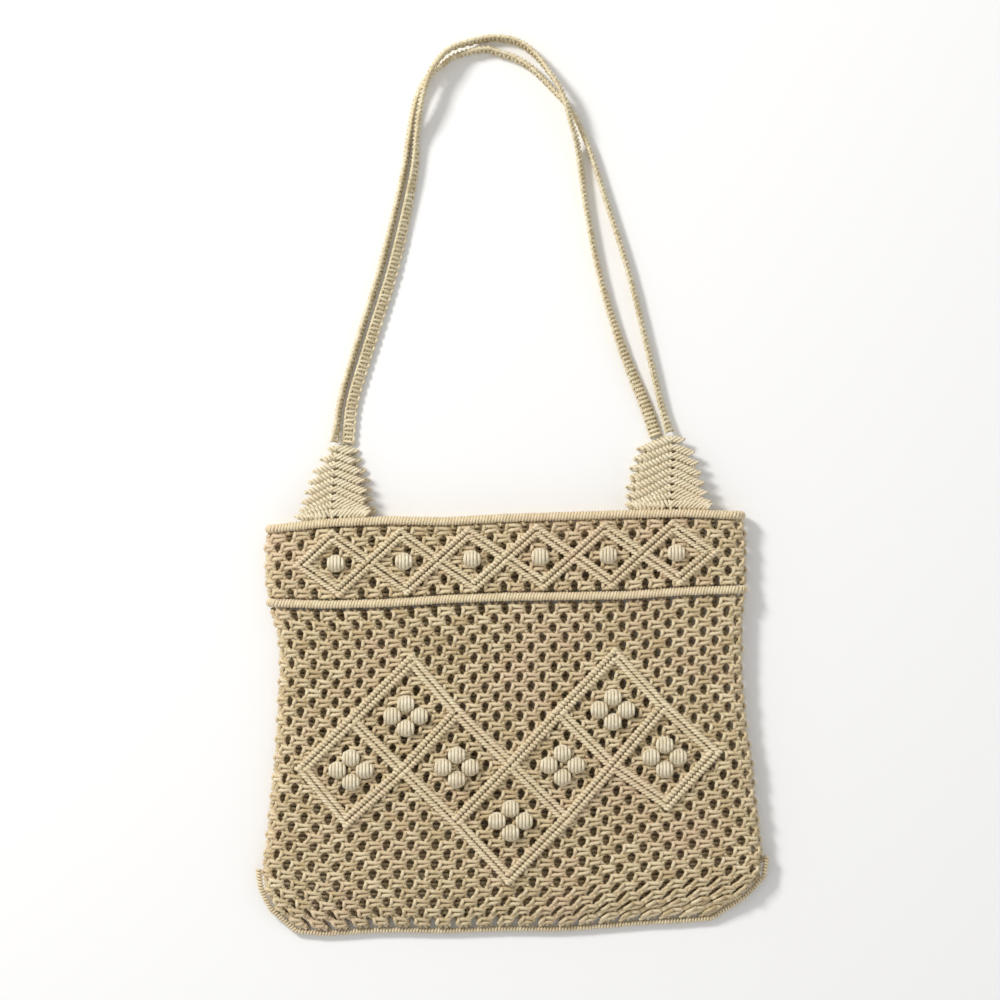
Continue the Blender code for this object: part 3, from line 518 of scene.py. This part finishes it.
def body_nets(material):
    """The band's and the lower body's net, the front half by half."""
    band = Cords()
    pitch = 1.0 / BAND_HALF_ROWS
    knots_on_body(band, BAND_ROWS, band_top, band_bottom, range(BAND_HALF_ROWS), pitch / 2, pitch, front_columns, 6)
    knots_on_body(band, BAND_ROWS, band_top, band_bottom, range(BAND_HALF_ROWS), pitch / 2, pitch, back_columns, 4)
    band.make("upper_band_net", material, ["upper_band"])
    pitch = 1.0 / (NET_HALF_ROWS + 0.4)
    halves = [range(0, 17), range(17, NET_HALF_ROWS)]
    for number, half_rows in enumerate(halves, start=1):
        front = Cords()
        knots_on_body(front, NET_ROWS, net_top, bottom_line, half_rows, 0.7 * pitch, pitch, front_columns, 5)
        front.make(f"lower_net_front_{number}", material, ["lower_net"])
        back = Cords()
        knots_on_body(back, NET_ROWS, net_top, bottom_line, half_rows, 0.7 * pitch, pitch, back_columns, 4)
        back.make(f"lower_net_back_{number}", material, ["lower_net"])


def resample(path, spacing):
    """A path's points at even spacing, with the distances along it."""
    path = np.asarray(path, float)
    steps = np.linalg.norm(np.diff(path, axis=0), axis=1)
    along = np.concatenate([[0.0], np.cumsum(steps)])
    count = max(2, int(round(along[-1] / spacing)) + 1)
    at = np.linspace(0.0, along[-1], count)
    return np.stack([np.interp(at, along, path[:, axis]) for axis in range(3)], axis=1), at


def wound_rope(cords, path, hint, width, height, cord, pitch, slant=0.0, steps=8, sides=5, unevenness=0.06):
    """A cord wound round a path, as a row of half hitches looks; hint points roughly out of the surface."""
    fine, at = resample(path, pitch / steps)
    run = np.gradient(fine, axis=0)
    run /= np.linalg.norm(run, axis=1, keepdims=True)
    hint = np.broadcast_to(np.asarray(hint, float), fine.shape)
    across = np.cross(run, hint)
    across /= np.linalg.norm(across, axis=1, keepdims=True)
    out = np.cross(across, run)
    turns = 2 * math.pi * at / pitch
    swell = 1.0 + np.interp(turns, np.arange(0.0, turns[-1] + 20.0, 2 * math.pi),
                            random.normal(0.0, unevenness, int((turns[-1] + 20.0) / (2 * math.pi)) + 1))
    wide = (width / 2 - cord) * swell
    high = (height / 2 - cord) * swell
    cosine = np.cos(turns)[:, None]
    sine = np.sin(turns)[:, None]
    helix = fine + across * cosine * wide[:, None] + out * sine * high[:, None]
    helix = helix + run * cosine * (slant * wide)[:, None]
    cords.add(helix[None], cord, sides, capped=True, tone_spread=0.4)


def body_ring(left, right, line):
    """The centre line of a ridge that runs round the body, twice joined at its start."""
    radius = RIDGE / 2
    front = BODY_DEPTH - WALL + radius
    bend = (front - radius) / 2
    middle = (front + radius) / 2
    flat_left = -left * HALF + radius + bend
    flat_right = right * HALF - radius - bend
    turns = np.linspace(0.0, math.pi, 12)[1:-1]
    x = np.concatenate([
        np.linspace(0.0, flat_right, 40), flat_right + bend * np.sin(turns),
        np.linspace(flat_right, flat_left, 80), flat_left - bend * np.sin(turns), np.linspace(flat_left, 0.0, 40),
    ])
    z = np.concatenate([
        np.full(40, front), middle + bend * np.cos(turns),
        np.full(80, radius), middle - bend * np.cos(turns), np.full(40, front),
    ])
    z = z + crown_height(x) * (z > middle)
    outward = np.stack([np.zeros_like(x), np.zeros_like(x), np.ones_like(x)], axis=1)
    path = np.stack([x, line(x), z], axis=1)
    run = np.gradient(path, axis=0)
    outward = np.cross(np.broadcast_to([0.0, 1.0, 0.0], path.shape), run)
    return path, outward


def ring_ridge(name, left, right, line, material):
    """A wrapped ridge round the body: wraps of one cord, side by side."""
    path, outward = body_ring(left, right, line)
    cords = Cords()
    fine, at = resample(path, 0.0020 / 8)
    steps = np.linalg.norm(np.diff(path, axis=0), axis=1)
    along = np.concatenate([[0.0], np.cumsum(steps)])
    hint = np.stack([np.interp(at, along, outward[:, axis]) for axis in range(3)], axis=1)
    run = np.gradient(fine, axis=0)
    run /= np.linalg.norm(run, axis=1, keepdims=True)
    across = np.cross(run, hint)
    across /= np.linalg.norm(across, axis=1, keepdims=True)
    out = np.cross(across, run)
    pitch = at[-1] / round(at[-1] / 0.0021)
    turns = 2 * math.pi * at / pitch
    wobble = 1.0 + 0.05 * np.sin(turns * 0.37) + 0.04 * np.sin(turns * 0.113 + 1.0)
    reach = (RIDGE / 2 - 0.0011) * wobble
    helix = fine + (across * np.cos(turns)[:, None] + out * np.sin(turns)[:, None]) * reach[:, None]
    helix = helix + run * (np.cos(turns) * 0.0004)[:, None]
    cords.add(helix[None], 0.00108, 5)
    core = resample(path, 0.004)[0]
    cords.add(core[None], 0.0018, 6)
    return cords.make(name, material, [name])


def hem_ridge(material):
    rows = NET_ROWS[HEM_FIRST_ROW:]

    def fold(row, side, sign):
        x = sign * row[side] * HALF
        return np.array([x, mix(net_top(x), bottom_line(x), row["down"]), BODY_DEPTH * row["depth"] / 2])

    left = [fold(row, "left", -1.0) for row in rows]
    right = [fold(row, "right", 1.0) for row in reversed(rows)]
    bottom = []
    for x in np.linspace(left[-1][0], right[0][0], 17)[1:-1]:
        bottom.append(np.array([x, bottom_line(x), left[-1][2]]))
    edge = np.array(left + bottom + right)
    run = np.gradient(edge, axis=0)
    outward = np.stack([run[:, 1], -run[:, 0], np.zeros(len(run))], axis=1)
    outward /= np.linalg.norm(outward, axis=1, keepdims=True)
    path = edge + outward * (HEM / 2)
    cords = Cords()
    wound_rope(cords, path, (0.0, 0.0, 1.0), HEM, HEM, 0.00095, 0.0021)
    return cords.make("hem_ridge_cord", material, ["hem_ridge"])


def offset_outline(points, distance):
    """A closed outline moved to its inner side by a distance, with mitred corners."""
    doubled_area = 0.0
    for first, second in zip(points, points[1:] + points[:1]):
        doubled_area += first[0] * second[1] - second[0] * first[1]
    side = 1.0 if doubled_area > 0 else -1.0
    moved = []
    for index, point in enumerate(points):
        before = Vector(point) - Vector(points[index - 1])
        ahead = Vector(points[(index + 1) % len(points)]) - Vector(point)
        normal_before = Vector((-before.y, before.x)).normalized() * side
        normal_ahead = Vector((-ahead.y, ahead.x)).normalized() * side
        mitre = (normal_before + normal_ahead) / (1.0 + normal_before.dot(normal_ahead))
        moved.append(tuple(Vector(point) + mitre * distance))
    return moved


def diamond_places():
    return {key: (across * HALF, -BAND_HEIGHT - down * NET_HEIGHT) for key, (across, down) in DIAMOND_NODES.items()}


def lozenge_places():
    pitch = LOZENGE_ROW / LOZENGES
    lean = 0.45 * pitch

    def at(x, share):
        return x, float(mix(rim_line(x), band_line(x), share))

    places = {}
    for number in range(LOZENGES + 1):
        x = -LOZENGE_ROW / 2 + number * pitch
        places[f"middle_{number}"] = at(x, 0.50)
        if number < LOZENGES:
            places[f"top_{number}"] = at(x + lean, 0.165)
        if number > 0:
            places[f"bottom_{number}"] = at(x - lean, 0.835)
    return places


def lozenge_cells():
    cells = []
    for number in range(LOZENGES):
        after = number + 1
        cells.append((f"middle_{number}", f"top_{number}", f"middle_{after}", f"bottom_{after}"))
    return cells


def lozenge_border():
    border = []
    for number in range(LOZENGES):
        border += [f"middle_{number}", f"top_{number}"]
    for number in range(LOZENGES, 0, -1):
        border += [f"middle_{number}", f"bottom_{number}"]
    return border


def cell_centre(places, cell):
    xs = [places[key][0] for key in cell]
    ys = [places[key][1] for key in cell]
    return sum(xs) / len(xs), sum(ys) / len(ys)


def relief_ropes(name, places, cells, border, width, cord, pitch, material, node):
    """The double ridges: one wound rope along each side of each cell and of the border."""
    cords = Cords()
    loops = [offset_outline([places[key] for key in cell], RELIEF_WIDTH / 2) for cell in cells]
    loops.append(offset_outline([places[key] for key in border], -RELIEF_WIDTH / 2))
    for loop in loops:
        for start, stop in zip(loop, loop[1:] + loop[:1]):
            if start[0] > stop[0]:
                start, stop = stop, start
            rising = stop[1] > start[1]
            run = (Vector(stop) - Vector(start)).normalized()
            reach = (0.42 if rising else 0.12) * RELIEF_WIDTH
            low = Vector(start) - run * reach
            high = Vector(stop) + run * reach
            shares = np.linspace(0.0, 1.0, 9)
            x = mix(low.x, high.x, shares)
            y = mix(low.y, high.y, shares)
            level = 0.0009 if rising else 0.0003
            path = np.stack([x, y, front_height(x) + level], axis=1)
            slant = 0.9 if rising else -0.9
            wound_rope(cords, path, (0.0, 0.0, 1.0), width, width * 0.95, cord, pitch, slant=slant)
    return cords.make(name, material, [node])


def berry(cords, x, y):
    """A berry knot: cords side by side over a dome, with a ring of cord at its foot."""
    radius = 0.00122
    half = BOBBLE_WIDTH / 2
    base = front_height(x) - 0.0006
    count = 5
    arcs = []
    for number in range(count):
        offset = (number - (count - 1) / 2) * 1.72 * radius
        share = math.sqrt(max(0.05, 1.0 - (offset / half) ** 2))
        turns = np.linspace(0.0, math.pi, 13)
        ripple = 1.0 + 0.035 * np.sin(turns * 7.0 + number * 2.1 + random.uniform(0, 6))
        length = (half - radius * 0.6) * share * ripple
        rise = (BOBBLE_HEIGHT - radius + 0.0006) * (0.35 + 0.65 * share) * ripple
        lean = 0.12 * offset
        arcs.append(np.stack([
            np.full(13, x + offset) + lean * np.sin(turns), y - length * np.cos(turns), base + rise * np.sin(turns),
        ], axis=1))
    cords.add(np.array(arcs), radius, 6, capped=True, tone_spread=0.4)
    turns = np.linspace(0.0, 2 * math.pi, 19)
    foot = np.stack([x + half * 0.86 * np.cos(turns), y + half * 0.86 * np.sin(turns),
                     np.full(19, base + 0.0012)], axis=1)
    cords.add(foot[None], radius, 6)


def berries(material):
    lozenges = lozenge_places()
    cords = Cords()
    for cell in lozenge_cells():
        berry(cords, *cell_centre(lozenges, cell))
    names = [f"band_bobble_{number}" for number in range(1, LOZENGES + 1)]
    cords.make("band_berries", material, names)
    diamonds = diamond_places()
    cords = Cords()
    names = []
    for number, cell in enumerate(DIAMOND_CELLS, start=1):
        x, y = cell_centre(diamonds, cell)
        for place, (across, up) in enumerate(CLUSTER, start=1):
            berry(cords, x + across * BOBBLE_WIDTH, y + up * BOBBLE_WIDTH)
            names.append(f"diamond_bobble_{number}_{place}")
    cords.make("diamond_berries", material, names)


def tab_foot(x):
    return rim_line(x) + RIDGE / 2 + GAP


def tab_tip_height(layer):
    lying = TAB_THICKNESS / 2
    if layer == "back":
        return lying
    return lying + TAB_THICKNESS + TAB_RIB_HEIGHT + 2.0 * GAP


def tab_middle(layer, height):
    lying = tab_tip_height(layer)
    if layer == "back":
        return lying + 0.0 * height
    return mix(BODY_DEPTH - WALL + RIDGE / 2, lying, height)


def tab_tip(side, table):
    tip = table[-1]
    x = side * TAB_SPACING / 2 + TAB_OFFSET + (tip["left"] + tip["right"]) / 2 * TAB_WIDTH / 2
    return np.array([x, float(tab_foot(x)) + TAB_HEIGHT, 0.0])


def tab(name, side, table, layer, material):
    """A herringbone tab: wound ribs that fall from the centre line to both edges."""
    shift = -side * BACK_TAB_SHIFT if layer == "back" else 0.0
    axis = side * TAB_SPACING / 2 + TAB_OFFSET + shift
    half = TAB_WIDTH / 2
    rib = TAB_HEIGHT / TAB_RIBS
    cords = Cords()

    def at(height, column):
        x = axis + float(read_table(table, "height", column, height)) * half
        return np.array([x, float(tab_foot(x)) + height * TAB_HEIGHT, float(tab_middle(layer, height))])

    for number in range(TAB_RIBS + 1):
        height = (number + 0.62) / TAB_RIBS
        if height > 1.02:
            continue
        for column in ("left", "right"):
            inner = at(min(1.0, height), "centre")
            reach = abs(at(height, column)[0] - inner[0])
            slope = RIB_SLOPE * (0.72 if number == 0 else 1.0)
            outer_height = max(0.03, height - reach * slope / TAB_HEIGHT)
            outer = at(outer_height, column)
            inset = (outer - inner) / np.linalg.norm(outer - inner) * 0.0011
            path = np.linspace(inner - inset * 0.2, outer - inset, 7)
            slant = 0.7 if column == "left" else -0.7
            wound_rope(cords, path, (0.0, 0.0, 1.0), rib * 1.10, TAB_THICKNESS * 1.02, 0.00100, 0.0026, slant=slant)
    for share in np.linspace(-0.78, 0.78, 15):
        column = "left" if share < 0 else "right"
        edge = float(read_table(table, "height", column, 0.0))
        x = axis + mix(float(table[0]["centre"]), edge, abs(share)) * half
        top = max(0.1, 0.62 - 2.6 * (1 - abs(share)) * 0.0 - abs(share) * 0.60) * rib * 1.0
        if abs(abs(share) - 0.11) < 0.05:
            continue
        z = float(tab_middle(layer, 0.04))
        low = np.array([x, float(tab_foot(x)) - 0.0012, z])
        high = np.array([x + random.normal(0, 0.0002), float(tab_foot(x)) + top + 0.002, z])
        cords.add(np.linspace(low, high, 4)[None], 0.00115, 6, capped=True)
    return cords.make(f"{name}_cord", material, [name])


def strap_extents(turn):
    lean = np.radians(turn)
    wide = (STRAP_WIDTH * np.abs(np.cos(lean)) + STRAP_THICKNESS * np.abs(np.sin(lean))) / 2
    high = (STRAP_WIDTH * np.abs(np.sin(lean)) + STRAP_THICKNESS * np.abs(np.cos(lean))) / 2
    return wide, high


def smooth_columns(rows, count):
    """Every column of the route at evenly numbered stations, on a smooth curve through its rows."""
    position = np.linspace(0.0, len(rows) - 1, count)
    index = np.minimum(position.astype(int), len(rows) - 2)
    share = position - index
    square = share ** 2
    cube = share ** 3
    columns = {}
    for name in rows[0]:
        values = column_of(rows, name).astype(float)
        before = values[np.maximum(0, index - 1)]
        first = values[index]
        second = values[index + 1]
        after = values[np.minimum(len(rows) - 1, index + 2)]
        columns[name] = (first + (second - before) / 2 * (cube - 2 * square + share)
                         + (second - first) * (3 * square - 2 * cube) + (after - first) / 2 * (cube - square))
    return columns


def strap_routes(count=400):
    """Both straps: the centre points and the lean at each of many stations."""
    start = tab_tip(-1, LEFT_TAB)
    finish = tab_tip(1, RIGHT_TAB)
    span = finish[0] - start[0]
    route = smooth_columns(STRAP_ROUTE, count)
    x = start[0] + route["across"] * span
    y = mix(start[1], finish[1], route["across"]) + 3.0 * GAP + route["up"] * STRAP_RISE
    run = np.stack([np.gradient(x), np.gradient(y)], axis=1)
    run /= np.linalg.norm(run, axis=1, keepdims=True)
    outward = np.stack([-run[:, 1], run[:, 0]], axis=1)
    front_wide, front_high = strap_extents(route["front_turn"])
    back_wide, back_high = strap_extents(route["back_turn"])
    beside = (front_wide + back_wide + GAP) / 2 * route["spread"] + route["apart"] * span / 2
    front_z = mix(front_high, np.maximum(front_high, tab_tip_height("front")), route["seat"])
    lifted = np.maximum(0.0, route["over"]) * (2.0 * front_high + 2.0 * GAP)
    back_z = mix(back_high + lifted, np.maximum(back_high, tab_tip_height("back")), route["seat"])
    front = np.stack([x + outward[:, 0] * beside, y + outward[:, 1] * beside, front_z], axis=1)
    back = np.stack([x - outward[:, 0] * beside, y - outward[:, 1] * beside, back_z], axis=1)
    return (front, route["front_turn"]), (back, route["back_turn"])


def strap(name, path, turn, material):
    """A sinnet of square knots that follows a route and leans as the route says."""
    run = np.gradient(path[:, :2], axis=0)
    run /= np.linalg.norm(run, axis=1, keepdims=True)
    outward = np.stack([-run[:, 1], run[:, 0], np.zeros(len(run))], axis=1)
    lean = np.radians(turn)[:, None]
    upright = np.array([0.0, 0.0, 1.0])
    width_axis = outward * np.cos(lean) + upright * np.sin(lean)
    face_axis = -outward * np.sin(lean) + upright * np.cos(lean)
    steps = np.linalg.norm(np.diff(path, axis=0), axis=1)
    along = np.concatenate([[0.0], np.cumsum(steps)])
    count = int(round(along[-1] / STRAP_KNOT))
    knot = along[-1] / count
    centres = (np.arange(count) + 0.5) * knot

    def on_strap(across, travel, out):
        values = []
        for source in (path, width_axis, face_axis):
            values.append(np.stack([np.interp(travel, along, source[:, axis]) for axis in range(3)], axis=-1))
        place, wide, face = values
        return place + wide * across[..., None] + face * out[..., None]

    cords = Cords()

    def lay(shape, radius, mirror=1.0):
        points = np.array(shape) * MM
        weight = np.sin(np.linspace(0.0, math.pi, len(points)))
        loosen = random.normal(0.0, 0.09, (count, len(points), 3)) * MM * weight[:, None]
        across = points[:, 0] * mirror + loosen[:, :, 0]
        travel = centres[:, None] - points[:, 1] * knot / STRAP_KNOT + loosen[:, :, 1]
        cords.add(on_strap(across, travel, points[:, 2] + loosen[:, :, 2]), radius, 6)

    lay(SINNET_BARS, STRAP_CORD)
    lay(SINNET_LOOP, STRAP_CORD)
    lay(SINNET_CORE, STRAP_CORD)
    lay(SINNET_CORE, STRAP_CORD, mirror=-1.0)
    return cords.make(f"{name}_cord", material, [name])


def floor_and_light(middle):
    """A pale floor under a soft lamp from the upper left and an even sky."""
    floor = bpy.data.meshes.new("floor")
    reach = 2.5
    corners = [(-reach, -reach, 0.0), (reach, -reach, 0.0), (reach, reach, 0.0), (-reach, reach, 0.0)]
    floor.from_pydata(corners, [], [(0, 1, 2, 3)])
    paper = bpy.data.materials.new("paper")
    paper.use_nodes = True
    shader = paper.node_tree.nodes["Principled BSDF"]
    shader.inputs["Roughness"].default_value = 0.9
    shader.inputs["Specular IOR Level"].default_value = 0.1
    shader.inputs["Base Color"].default_value = (0.93, 0.93, 0.93, 1.0)
    floor.materials.append(paper)
    plane = bpy.data.objects.new("floor", floor)
    bpy.context.scene.collection.objects.link(plane)

    def lamp(name, place, size, energy, colour):
        data = bpy.data.lights.new(name, "AREA")
        data.size = size
        data.energy = energy
        data.color = colour
        lamp_object = bpy.data.objects.new(name, data)
        lamp_object.location = place
        aim = middle - Vector(place)
        lamp_object.rotation_euler = aim.to_track_quat("-Z", "Y").to_euler()
        bpy.context.scene.collection.objects.link(lamp_object)

    lamp("window", (-1.7, 1.5, 1.9), 0.55, 62.0, (1.0, 0.985, 0.96))
    world = bpy.data.worlds.new("sky")
    world.use_nodes = True
    sky = world.node_tree.nodes["Background"]
    sky.inputs["Color"].default_value = (1.0, 1.0, 1.0, 1.0)
    sky.inputs["Strength"].default_value = 0.62
    bpy.context.scene.world = world
    bpy.context.scene.view_settings.view_transform = "Standard"


def photo_camera():
    """A camera straight above the bag with the photograph's frame."""
    data = bpy.data.cameras.new("camera")
    data.sensor_width = SENSOR
    field = PHOTO_SIDE * PIXEL
    data.lens = SENSOR * (CAMERA_HEIGHT - FOCUS_LEVEL) / field
    camera = bpy.data.objects.new("camera", data)
    x = (PHOTO_SIDE / 2 - PHOTO_MIDDLE_X) * PIXEL
    y = (PHOTO_RIM_Y - PHOTO_SIDE / 2) * PIXEL
    camera.location = (x + SHIFT[0], y + SHIFT[1], CAMERA_HEIGHT)
    bpy.context.scene.collection.objects.link(camera)
    bpy.context.scene.camera = camera
    return Vector((camera.location.x, camera.location.y, 0.0))


def frame_shift():
    """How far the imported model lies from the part's own drawing, whose middle of the rim is the origin."""
    low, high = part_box("band_bobble_1")
    x, y = cell_centre(lozenge_places(), lozenge_cells()[0])
    return np.array([(low.x + high.x) / 2 - x, (low.y + high.y) / 2 - y, 0.0])


SHIFT = frame_shift()
middle = photo_camera()
floor_and_light(middle)

net_cord = cord_material("net_cord", (0.78, 0.66, 0.44), (0.56, 0.43, 0.24), (0.70, 0.53, 0.36), 0.62)
ridge_cord = cord_material("ridge_cord", (0.84, 0.73, 0.51), (0.64, 0.51, 0.31), (0.76, 0.60, 0.42), 0.58)
berry_cord = cord_material("berry_cord", (0.86, 0.78, 0.60), (0.68, 0.58, 0.39), (0.80, 0.70, 0.52), 0.60)
tab_cord = cord_material("tab_cord", (0.88, 0.80, 0.60), (0.70, 0.59, 0.38), (0.82, 0.68, 0.48), 0.58)
strap_cord = cord_material("strap_cord", (0.86, 0.77, 0.55), (0.66, 0.55, 0.33), (0.80, 0.66, 0.44), 0.58)

body_nets(net_cord)
ring_ridge("rim_ridge", 1.0, 0.995, rim_line, ridge_cord)
ring_ridge("band_ridge", 0.997, 1.007, band_line, ridge_cord)
hem_ridge(ridge_cord)
relief_ropes("diamond_ropes", diamond_places(), DIAMOND_CELLS, DIAMOND_BORDER, 0.0047, 0.00112, 0.0027,
             ridge_cord, "lower_diamond_ridges")
relief_ropes("lozenge_ropes", lozenge_places(), lozenge_cells(), lozenge_border(), 0.0042, 0.00100, 0.0025,
             ridge_cord, "upper_lozenge_ridges")
berries(berry_cord)
for layer in ("front", "back"):
    tab(f"{layer}_tab_left", -1, LEFT_TAB, layer, tab_cord)
    tab(f"{layer}_tab_right", 1, RIGHT_TAB, layer, tab_cord)
(front_path, front_turn), (back_path, back_turn) = strap_routes()
strap("front_strap", front_path, front_turn, strap_cord)
strap("back_strap", back_path, back_turn, strap_cord)
